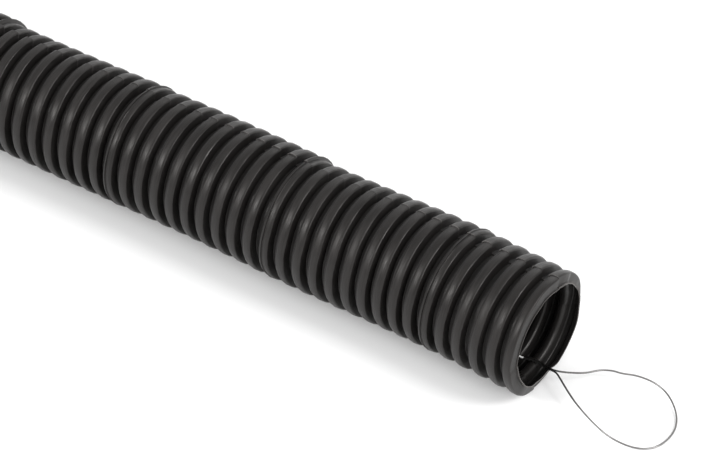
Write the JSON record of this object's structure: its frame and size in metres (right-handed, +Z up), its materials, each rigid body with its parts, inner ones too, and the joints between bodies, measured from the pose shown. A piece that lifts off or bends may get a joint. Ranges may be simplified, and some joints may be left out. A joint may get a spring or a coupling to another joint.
{
  "type": "corrugated conduit",
  "caption": "Length of black ring-corrugated cable conduit lying on its side, with a thin steel pull wire threaded through it and looped outside one mouth.",
  "frame": {"origin": "on the ground under the middle of the tube, where its wave crests touch", "axes": "+X along the tube, out of the mouth with the wire's loop; +Z up"},
  "size_m": [1.0478, 0.0498, 0.05],
  "materials": {
    "tube_plastic": "satin black polyethylene as it comes off the mould blocks",
    "wire_steel": "drawn zinc-coated steel wire"
  },
  "bodies": {
    "root": {"conduit": "tube_plastic", "pull_wire": "wire_steel"}
  },
  "joints": []
}
